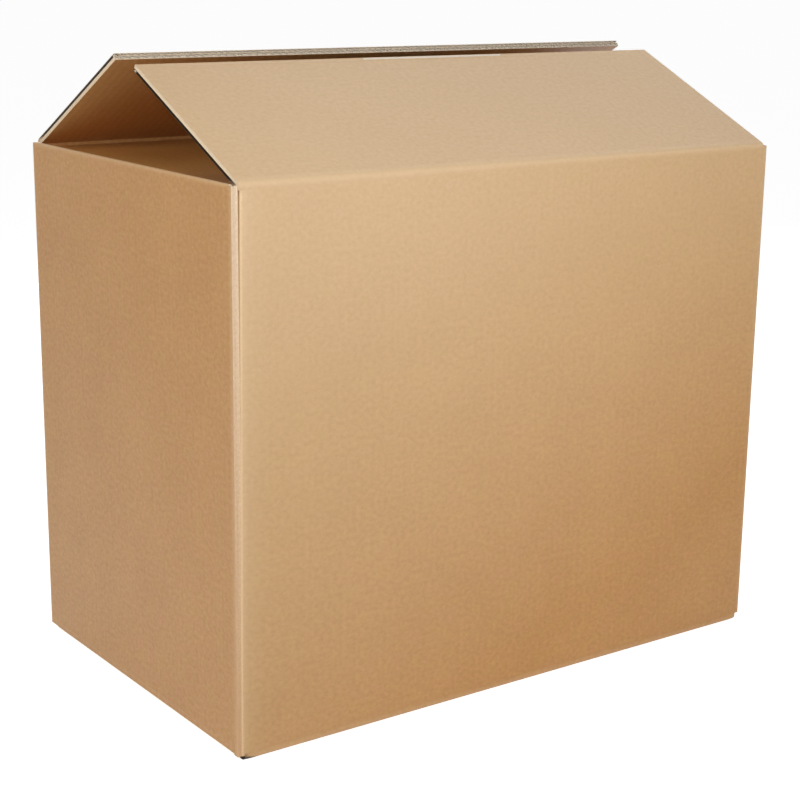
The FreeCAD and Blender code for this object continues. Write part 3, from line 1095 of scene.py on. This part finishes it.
    def add_cut(self, edge: FreeEdge, upper: np.ndarray, lower: np.ndarray, way_in: float = 0.0,
                finish: Finish = Finish.RAW) -> None:
        """Add the cut end of a sheet between two depths."""
        rows = tuple((depth, way_in, depth * BOARD.thickness) for depth in (upper, lower))
        self.add_sheet(edge, rows, finish, -edge.inward)

    def add_flutes(self, edge: FreeEdge) -> None:
        """Add the cut ends of three liners and two fluted sheets, and the sheets behind them.

        A fluted sheet's middle line is half a clear height times the cosine of the place across
        divided by the pitch, about the middle of its row, and its paper has one thickness.

        Args:
            edge: the free edge.
        """
        unit_drop = edge.drop / np.linalg.norm(edge.drop)
        length = float(np.linalg.norm(edge.end - edge.start))
        deep, liner = BOARD.thickness, BOARD.liner
        fine_end = liner + BOARD.fine_height
        level = np.ones(2)
        for low, high in ((0.0, liner), (fine_end, fine_end + liner), (deep - liner, deep)):
            for depth, face in ((low, -unit_drop), (high, unit_drop)):
                if 0 < depth < deep:
                    self.add_ribbon(edge, level * depth / deep, face)
            self.add_cut(edge, level * low / deep, level * high / deep)
        rows = (
            (liner, BOARD.fine_height, BOARD.fine_pitch, 10),
            (fine_end + liner, BOARD.coarse_height, BOARD.coarse_pitch, 12),
        )
        for top, height, pitch, samples in rows:
            periods = length / pitch
            share = np.linspace(0, 1, int(periods * samples))
            swing = 2 * math.pi * periods * share + self.seed
            half = (height - BOARD.paper) / 2
            middle = top + height / 2 + half * np.cos(swing) + self.wobble * np.sin(share * 61 + self.seed)
            slope = half * 2 * math.pi / pitch * np.sin(swing)
            thick = BOARD.paper / 2 * np.sqrt(1 + slope**2)
            upper = np.clip(middle - thick, top, top + height) / deep
            lower = np.clip(middle + thick, top, top + height) / deep
            self.add_ribbon(edge, upper, -unit_drop)
            self.add_ribbon(edge, lower, unit_drop)
            self.add_cut(edge, upper, lower)
        self.add_cut(edge, 0 * level, level, BOARD.flute_depth, Finish.FLUTE)

    def build(self, papers: Papers) -> bpy.types.Object:
        """Add every part of the strip.

        Args:
            papers: the four materials.

        Returns:
            The object.
        """
        outer, inner = self.add_faces()
        side = np.array([*self.placed.across, 0.0])
        self.add_side(outer[:, 0], inner[:, 0], -side, self.shade_wedge_height > 0)
        self.add_side(outer[:, -1], inner[:, -1], side, False)
        self.add_free_edge(outer, inner)
        return self.mesh.build(self.name, papers)


@dataclass
class WallRing:
    """The four wall panels with their folds and the glued joint at the near corner."""

    groove: float = 1.6 * MM
    joint_radius: float = 3.0 * MM
    raw_back: float = 0.5 * MM
    fold_creep: float = 4.6 * MM
    creep_reach: float = 30.0 * MM
    waves: float = 0.7 * MM
    seed: float = 1.7
    calm: float = 40.0 * MM
    corner_base: float = 5.2 * MM
    corner_drop: float = 0.8 * MM
    sheen_reach: float = 120.0 * MM
    slot_step: float = 0.01 * MM
    corner_rub: float = 0.35
    corner_rub_width: float = 4.0 * MM
    joint_highlight: float = 0.8
    joint_highlight_points: float = 3.0
    rows: int = 64
    joint_points: int = QUARTER_POINTS + 1

    @property
    def fold_x(self) -> float:
        """Where the front panel's joint fold stands at the top."""
        return -CARTON.half_length + BOARD.thickness + self.groove

    def side(self, half: float) -> np.ndarray:
        """Values along a panel from its middle, with one close on each side of both slots."""
        middle = spread(CARTON.slot - half, half - CARTON.slot, 9 * MM)
        return np.concatenate([[middle[0] - self.slot_step], middle, [middle[-1] + self.slot_step]])

    def plan(self) -> np.ndarray:
        """Outer line of the ring in plan, from the left panel's raw end to behind the joint fold.

        The line is a rectangle whose three far corners are quarter circles of the fold's radius; at
        the joint the front panel turns in on a quarter circle beside the raw end.

        Returns:
            The points of the line, rows by 2.
        """
        x, y = CARTON.half_length, CARTON.half_width
        away, rise = quarter(CARTON.fold_radius)
        turn, sweep = quarter(self.joint_radius)
        short, long = self.side(y), self.side(x)
        start = self.fold_x + self.joint_radius
        front = long[::-1]
        return np.concatenate([
            joined(-x, np.concatenate([[-y + self.raw_back], short])),
            joined(-x + away, y - rise),
            joined(long, y),
            joined(x - rise, y - away),
            joined(x, short[::-1]),
            joined(x - away, -y + rise),
            joined(front[front > start + 2 * MM], -y),
            joined(self.fold_x + sweep, -y + turn),
            [[self.fold_x, -y + BOARD.thickness]],
        ])

    def creep(self, points: np.ndarray, z: np.ndarray) -> np.ndarray:
        """How far the joint fold creeps over the raw end towards the base.

        The shift grows with the depth below the crease to the power 0.8, and a smooth ramp takes it
        to nothing along the front panel.

        Args:
            points: the plan line.
            z: heights, one row for each plan point.

        Returns:
            The shift along X at each height.
        """
        drop = np.clip((CARTON.crease - z) / CARTON.crease, 0, 1) ** 0.8
        start = self.fold_x + self.joint_radius
        near = 1 - smooth_step((points[:, 0] - self.fold_x - self.joint_radius) / self.creep_reach)
        on_front = points[:, 1] < -CARTON.half_width + BOARD.thickness + MM
        on_front &= np.arange(len(points)) > len(points) // 2
        return -self.fold_creep * (near * on_front)[:, None] * drop

    def dish(self, points: np.ndarray, across: np.ndarray, z: np.ndarray) -> np.ndarray:
        """How far a panel lies behind its plane: slow waves that die out at its folds.

        Args:
            points: the plan line.
            across: way along it.
            z: heights, one row for each plan point.

        Returns:
            The depth at each height.
        """
        x, y = (1 - np.abs(points) / (CARTON.half_length, CARTON.half_width)).T
        room = np.where(self.on_long(points), x, y)[:, None]
        blend = smooth_step(room * 5) * smooth_step((CARTON.strip_start - z) / self.calm)
        blend = blend * smooth_step((z - CARTON.panel_base) / self.calm)
        return self.waves * 0.5 * (1 - unevenness(across[:, None], z, self.seed)) * blend

    @staticmethod
    def on_long(points: np.ndarray) -> np.ndarray:
        """Whether each plan point is on the flat of the front or the back panel."""
        return np.abs(np.abs(points[:, 1]) - CARTON.half_width) < 0.1 * MM

    @staticmethod
    def split(points: np.ndarray) -> list[tuple[int, int, Triple]]:
        """Part the plan line into its four panels.

        Args:
            points: the plan line.

        Returns:
            For each panel its first index, the index after its last one and the way it faces.
        """
        x, y = CARTON.half_length - 2 * MM, CARTON.half_width - 2 * MM
        first = int(np.argmax(points[:, 1] > y))
        second = int(np.argmax(points[:, 0] > x))
        third = second + int(np.argmax(points[second:, 1] < -y))
        return [
            (0, first + 1, (-1.0, 0.0, 0.0)),
            (first, second + 1, (0.0, 1.0, 0.0)),
            (second, third + 1, (1.0, 0.0, 0.0)),
            (third, len(points), (-0.01, -1.0, 0.0)),
        ]

    def build(self, papers: Papers) -> bpy.types.Object:
        """Build the ring's outer face, inner face, slot ends and joint.

        Args:
            papers: the four materials.

        Returns:
            The object.
        """
        mesh = BoardMesh()
        points = self.plan()
        across = run_length(points)
        share = np.linspace(0, 1, self.rows)
        corner_top = CARTON.short_crease - self.corner_drop
        near_corner = (points < (CARTON.slot - CARTON.half_length, CARTON.slot - CARTON.half_width)).all(1)
        near_corner |= np.arange(len(points)) >= len(points) - self.joint_points
        low = np.where(near_corner, self.corner_base, CARTON.panel_base)
        room = (CARTON.half_length, CARTON.half_width) - np.abs(points)
        inside = (room > CARTON.slot - self.slot_step / 2).any(1)
        high = np.where(inside, CARTON.strip_start, corner_top)
        z = low[:, None] + (high - low)[:, None] * share
        on_long = self.on_long(points)
        inward = -np.sign(points) * np.where(on_long[:, None], (0, 1), (1, 0))
        plan = points[:, None, :] + self.dish(points, across, z)[..., None] * inward[:, None, :]
        plan[..., 0] += self.creep(points, z)
        outer = np.concatenate([plan, z[..., None]], -1)
        inner = self.inner_face(outer, on_long, share)
        blank = joined(across[:, None], z)
        wear_and_highlight = np.repeat(self.fold_wear_and_highlight(points)[:, None], self.rows, 1)
        # Painted sheen on the front panel, paler at its upper left.
        blend = painted_sheen((points[:, :1] + CARTON.half_length) / CARTON.length, 1 - z / CARTON.crease)
        past = (points[:, 1:] + CARTON.half_width) / self.sheen_reach
        blend = blend * (1 - smooth_step(past)) * (across[:, None] > CARTON.width + CARTON.length / 2)
        for begin, end, outward in self.split(points):
            part = slice(begin, end)
            mesh.add(outer[part], blank[part], Finish.OUTER, outward, wear_and_highlight[part], blend=blend[part])
            mesh.add(inner[part], blank[part], Finish.INNER, (-outward[0], -outward[1], 0.0))
            for row, facing in ((0, (0, 0, -1)), (-1, (0, 0, 1))):
                rim = np.stack([outer[part, row], inner[part, row]])
                place = np.stack([blank[part, row], blank[part, row] + [0.0, BOARD.thickness]])
                mesh.add(rim, place, Finish.RAW, facing, wear_and_highlight=np.ones(rim.shape[:2]))
        self.add_slot_steps(mesh, outer, inner, inside)
        self.add_raw_end(mesh, self.corner_base, corner_top)
        return mesh.build("wall_panels", papers, 40.0)

    def inner_face(self, outer: np.ndarray, on_long: np.ndarray, share: np.ndarray) -> np.ndarray:
        """Points of the ring's inner face, a board's thickness behind the outer one.

        Args:
            outer: points of the outer face.
            on_long: whether each upright line is on a long panel.
            share: place up each line, from 0 to 1.

        Returns:
            The points, in the outer face's order.
        """
        low = BOARD.thickness
        limit_x = CARTON.half_length - low
        limit_y = CARTON.half_width - low
        x = np.clip(outer[..., 0], -limit_x, limit_x)
        y = np.clip(outer[..., 1], -limit_y, limit_y)
        joint = slice(-self.joint_points, None)
        x[joint] = np.maximum(x[joint], 0.1 * MM - limit_x)
        high = np.where(on_long, CARTON.strip_start, CARTON.short_flap_top - low)
        high[joint] = CARTON.strip_start
        return joined(x, y, low + (high - low)[:, None] * share)

    def add_slot_steps(self, mesh: BoardMesh, outer: np.ndarray, inner: np.ndarray,
                       inside: np.ndarray) -> None:
        """Close the small upright step between a slot's end and the crease strip beside it.

        Args:
            mesh: the mesh that it goes into.
            outer: points of the outer face.
            inner: points of the inner face.
            inside: whether each upright line lies between two slots.
        """
        for edge in np.flatnonzero(np.diff(inside.astype(int))):
            pair = (edge, edge + 1)
            rim = np.stack([outer[pair, -1], inner[pair, -1]])
            direction = (outer[edge, -1] - outer[edge + 1, -1]) * (1 if inside[edge + 1] else -1)
            mesh.add(rim, np.zeros((2, 2, 2)), Finish.RAW, direction, wear_and_highlight=np.ones((2, 2)))

    def fold_wear_and_highlight(self, points: np.ndarray) -> np.ndarray:
        """Rubbed paper along the upright folds and, more, a lighter tone along the joint's fold that paints
        its highlight.

        Args:
            points: the plan line.

        Returns:
            The wear at each plan point.
        """
        away = np.hypot(np.abs(points[:, 0]) - CARTON.half_length, np.abs(points[:, 1]) - CARTON.half_width)
        joint_middle = len(points) - 6
        joint = bell(np.arange(len(points)) - joint_middle, self.joint_highlight_points)
        return np.maximum(self.corner_rub * bell(away, self.corner_rub_width), self.joint_highlight * joint)

    def add_raw_end(self, mesh: BoardMesh, low: float, high: float) -> None:
        """Add the left panel's raw end, a flat cut whose coarse flute is a shallow hollow.

        Its tone goes from pale at the top to brown at the base.

        Args:
            mesh: the mesh that it goes into.
            low: height of its foot.
            high: height of its top.
        """
        z = np.linspace(low, high, self.rows)
        depth, hollow = RAW_END.T
        raw_x = -CARTON.half_length + depth * BOARD.thickness
        raw_y = -CARTON.half_width + self.raw_back + hollow * MM
        raw = joined(raw_x[:, None], raw_y[:, None], z)
        place = joined(depth[:, None] * BOARD.thickness, z)
        wear_and_highlight = np.broadcast_to(0.25 + 0.75 * (high - z) / (high - low), raw.shape[:2])
        mesh.add(raw, place, Finish.RAW, (0.0, -1.0, 0.0), wear_and_highlight)
        cheek_y = np.array([[raw_y[-1]], [-CARTON.half_width + BOARD.thickness]])
        cheek = joined(raw_x[-1], cheek_y, z)
        mesh.add(cheek, place[:2], Finish.RAW, (1.0, 0.0, 0.0), wear_and_highlight=np.full(cheek.shape[:2], 0.5))


@dataclass
class GlueTab:
    """The tab that joins the sheet, glued inside the left panel, with slanted ends."""

    bevel: float = 12.0 * MM
    end_gap: float = 2.0 * MM
    rim_run: float = 200.0 * MM

    def build(self, papers: Papers) -> bpy.types.Object:
        """Build the tab as a board lying on the left panel's inner face.

        The face is a grid between two slanted end lines; its rims run back to the wall.

        Args:
            papers: the four materials.

        Returns:
            The object.
        """
        mesh = BoardMesh()
        low = CARTON.short_base + BOARD.thickness + self.end_gap
        high = CARTON.short_flap_top - BOARD.thickness - self.end_gap
        across = spread(0.0, CARTON.tab_width, 4 * MM)[:, None]
        slant = self.bevel * across / CARTON.tab_width
        share = np.linspace(0, 1, 40)
        z = (low + slant) * (1 - share) + (high - slant) * share
        y = -CARTON.half_width + BOARD.thickness + across
        wall = -CARTON.half_length + BOARD.thickness
        face = joined(wall + BOARD.thickness, y, z)
        back = joined(wall, y, z)
        mesh.add(face, joined(CARTON.girth + across, z), Finish.INNER, (1.0, 0.0, 0.0))
        for rim_face, rim_back, outward in (
            (face[-1], back[-1], (0.0, 1.0, 0.0)),
            (face[:, 0], back[:, 0], (0.0, 0.0, -1.0)),
            (face[:, -1], back[:, -1], (0.0, 0.0, 1.0)),
        ):
            along = np.linspace(0, self.rim_run, len(rim_face))
            place = joined(along, np.array([[0.0], [BOARD.thickness]]))
            mesh.add(np.stack([rim_face, rim_back]), place, Finish.RAW, outward)
        return mesh.build("glue_tab", papers)


@dataclass
class ShippingCarton:
    """The whole carton: the ring of walls, four bottom flaps, two short and two long top flaps."""

    papers: Papers
    crease_radius: float = 5.0 * MM
    # Height of the painted shade wedge under the front's corner fold.
    shade_wedge_height: float = 4.6 * MM
    corner_lift: float = 0.6 * MM

    def bottom_flap(self, name: str, placed: Placed, half: float, profile: Profile,
                    **looks: object) -> bpy.types.Object:
        """Build a bottom flap.

        Args:
            name: the panel that it hangs on.
            placed: where its profile stands.
            half: half its width.
            profile: its bottom fold and underside.
            looks: further fields of its strip.

        Returns:
            The object.
        """
        strip = FlapStrip(f"{name}_bottom_flap", profile, placed, half, half, open_flutes=False,
                          waves=0.0, up=(0.0, 0.0, -1.0), **looks)
        return strip.build(self.papers)

    def build_body(self) -> None:
        """Build everything that stays with the folded body."""
        walls = WallRing().build(self.papers)
        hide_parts("carton_body")
        x, y = CARTON.half_length, CARTON.half_width
        short, long = y - CARTON.slot, x - CARTON.slot
        pieces = [walls, GlueTab().build(self.papers)]
        for name, sign, middle in (("left", -1.0, y), ("right", 1.0, 2 * x + 3 * y)):
            placed = Placed((-sign, 0.0), (0.0, -sign), (sign * x, 0.0), 0.0, middle)
            top = FlapStrip(f"{name}_top_flap", short_flap_profile(), placed, short, short,
                            waves=0.5 * MM, seed=2.0 + sign)
            pieces.append(top.build(self.papers))
            profile = bottom_profile(CARTON.short_base, CARTON.short_base + BOARD.thickness)
            pieces.append(self.bottom_flap(name, placed, short, profile))
        lift = (self.corner_lift, self.corner_lift)
        # The front bottom flap carries the painted shade wedge and the painted sheen.
        torn_and_shaded = {"shade_wedge_height": self.shade_wedge_height, "sheen_depth": 1.0}
        ends = (("front", -1.0, 3 * x + 4 * y, torn_and_shaded), ("back", 1.0, x + 2 * y, {}))
        for name, sign, middle, looks in ends:
            placed = Placed((0.0, -sign), (-sign, 0.0), (0.0, sign * y), 0.0, middle)
            profile = bottom_profile(0.0, CARTON.panel_base)
            pieces.append(self.bottom_flap(name, placed, long, profile, corner_lift=lift, **looks))
        for piece in pieces:
            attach(piece, "carton")

    def build_long_flap(self, name: str, sign: float, angle: float, middle: float,
                        tapers: tuple[float, float]) -> None:
        """Build a long top flap that bends at its crease.

        Args:
            name: the CAD node, which the flap hides and is named after.
            sign: -1 for the front flap and 1 for the back one.
            angle: of the flap above closed, in degrees.
            middle: the panel's middle on the blank.
            tapers: how much the free edge is set in at the left and at the right end.
        """
        half, y = CARTON.half_length - CARTON.slot, CARTON.half_width
        start = CARTON.crease - CARTON.strip_start
        profile = flap_profile(angle, self.crease_radius, start, CARTON.flap)
        placed = Placed((0.0, -sign), (1.0, 0.0), (0.0, sign * y), CARTON.crease, middle)
        rise = math.radians(angle)
        up = (0.0, sign * math.sin(rise), math.cos(rise))
        # Only the front flap carries the painted sheen, at the strength it has along the crease.
        strip = FlapStrip(name + "_board", profile, placed, half, half, *tapers,
                          waves=0.35 * MM, seed=4.0 + sign, channel=3.6 * MM,
                          channel_outside=sign > 0, up=up, sheen_depth=0.0 if sign < 0 else None)
        piece = strip.build(self.papers)
        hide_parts(name)
        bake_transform(piece)

    def build(self) -> None:
        """Build the carton."""
        x, y = CARTON.half_length, CARTON.half_width
        self.build_body()
        self.build_long_flap("front_flap", -1.0, CARTON.front_angle, 3 * x + 4 * y, (-1.3 * MM, 5.6 * MM))
        self.build_long_flap("back_flap", 1.0, CARTON.back_angle, x + 2 * y, (0.3 * MM, 6.0 * MM))


@dataclass(frozen=True)
class Lamp:
    """A square soft lamp: its place, the point it looks at, its side, its watts and its colour."""

    name: str
    place: Triple
    aim: Triple
    size: float
    power: float
    tint: Triple = (1.0, 1.0, 1.0)

    def build(self) -> None:
        """Add the lamp to the scene."""
        data = bpy.data.lights.new(self.name, "AREA")
        data.shape = "SQUARE"
        data.size = self.size
        data.energy = self.power
        data.color = self.tint
        lamp = bpy.data.objects.new(self.name, data)
        lamp.location = self.place
        lamp.visible_camera = False
        lamp.rotation_euler = (Vector(self.aim) - Vector(self.place)).to_track_quat("-Z", "Y").to_euler()
        bpy.context.scene.collection.objects.link(lamp)


@dataclass(frozen=True)
class Studio:
    """Camera, lamps and floor of a plain white studio."""

    focal_px: float = 1754.978
    frame_px: float = 800.0
    sensor: float = 36.0
    clip: tuple[float, float] = (0.05, 50.0)
    azimuth: float = -35.7276
    elevation: float = 14.2923
    roll: float = 0.6773
    place: Triple = (-0.98610, -1.36750, 0.66478)
    floor_reach: float = 30.0
    floor_grey: float = 0.82
    floor_glow: float = 0.81
    soft_light: float = 0.20
    lamps: tuple[Lamp, ...] = (
        Lamp("key", (-0.55, -1.00, 1.10), (-0.2, -0.2, 0.4), 0.5, 5.1),
        Lamp("sheen", (0.25, -0.95, 0.45), (-0.25, -0.19, 0.45), 0.5, 2.4),
        Lamp("overhead", (0.65, 0.35, 1.15), (0.0, -0.1, 0.53), 0.9, 2.45, (1.0, 0.94, 0.82)),
        Lamp("side", (-2.0, -0.6, 1.1), (-0.3, 0.0, 0.35), 1.0, 16.6, (1.0, 0.98, 0.88)),
        Lamp("back", (0.9, 1.9, 1.1), (0.1, 0.1, 0.3), 1.2, 14.0),
    )

    def camera(self) -> None:
        """Make the camera at the photograph's viewing angle."""
        azimuth, elevation, roll = (math.radians(v) for v in (self.azimuth, self.elevation, self.roll))
        back = Vector((math.sin(azimuth) * math.cos(elevation),
                       -math.cos(azimuth) * math.cos(elevation), math.sin(elevation)))
        right = Vector((math.cos(azimuth), math.sin(azimuth), 0.0))
        up = back.cross(right)
        turned = right * math.cos(roll) + up * math.sin(roll)
        upright = up * math.cos(roll) - right * math.sin(roll)
        data = bpy.data.cameras.new("camera")
        data.sensor_width = self.sensor
        data.lens = self.focal_px / self.frame_px * self.sensor
        data.clip_start, data.clip_end = self.clip
        camera = bpy.data.objects.new("camera", data)
        bpy.context.scene.collection.objects.link(camera)
        camera.matrix_world = Matrix((
            (turned.x, upright.x, back.x, self.place[0]),
            (turned.y, upright.y, back.y, self.place[1]),
            (turned.z, upright.z, back.z, self.place[2]),
            (0.0, 0.0, 0.0, 1.0),
        ))
        bpy.context.scene.camera = camera

    @staticmethod
    def show(kit: NodeKit, lit: bpy.types.Node, seen: bpy.types.Node, output: str) -> None:
        """Join one shader for the light and one for the rays that show the background.

        Args:
            kit: the tree's nodes.
            lit: what lights the carton.
            seen: what the camera, reflections and glass see.
            output: the type of the output node.
        """
        rays = kit.node("ShaderNodeLightPath")
        shown = kit.math("MAXIMUM", rays.outputs["Is Camera Ray"], rays.outputs["Is Glossy Ray"])
        shown = kit.math("MAXIMUM", shown, rays.outputs["Is Transmission Ray"])
        choice = kit.node("ShaderNodeMixShader")
        for index, socket in enumerate((shown, lit.outputs[0], seen.outputs[0])):
            kit.link(socket, choice.inputs[index])
        kit.link(choice.outputs[0], kit.node(output).inputs["Surface"])

    def floor(self) -> None:
        """Add a wide white floor, whose glow leaves hardly any of the carton's shadow."""
        mesh = bpy.data.meshes.new("floor")
        far = self.floor_reach
        corners = [(-far, -far, 0.0), (far, -far, 0.0), (far, far, 0.0), (-far, far, 0.0)]
        mesh.from_pydata(corners, [], [(0, 1, 2, 3)])
        floor = bpy.data.objects.new("floor", mesh)
        bpy.context.scene.collection.objects.link(floor)
        material = bpy.data.materials.new("studio_floor")
        material.use_nodes = True
        material.node_tree.nodes.clear()
        kit = NodeKit(material.node_tree)
        plain = kit.node("ShaderNodeBsdfDiffuse", Color=(*[self.floor_grey] * 3, 1.0))
        glow = kit.node("ShaderNodeEmission", Color=(1.0, 1.0, 1.0, 1.0), Strength=self.floor_glow)
        both = kit.node("ShaderNodeAddShader")
        kit.link(plain.outputs[0], both.inputs[0])
        kit.link(glow.outputs[0], both.inputs[1])
        self.show(kit, plain, both, "ShaderNodeOutputMaterial")
        mesh.materials.append(material)

    def world(self) -> None:
        """Light from all round, white where the camera sees it."""
        world = bpy.data.worlds.new("studio")
        bpy.context.scene.world = world
        world.use_nodes = True
        world.node_tree.nodes.clear()
        kit = NodeKit(world.node_tree)
        soft, white = (
            kit.node("ShaderNodeBackground", Color=(1.0, 1.0, 1.0, 1.0), Strength=strength)
            for strength in (self.soft_light, 1.0)
        )
        self.show(kit, soft, white, "ShaderNodeOutputWorld")

    def build(self) -> None:
        """Set up the studio."""
        bpy.context.scene.view_settings.view_transform = "Standard"
        self.camera()
        for lamp in self.lamps:
            lamp.build()
        self.floor()
        self.world()


def main() -> None:
    """Build the studio and the carton, and report each piece."""
    logging.basicConfig(level=logging.INFO, format="%(message)s")
    Studio().build()
    papers = Papers()
    papers.build()
    ShippingCarton(papers).build()


if __name__ == "__main__":
    main()
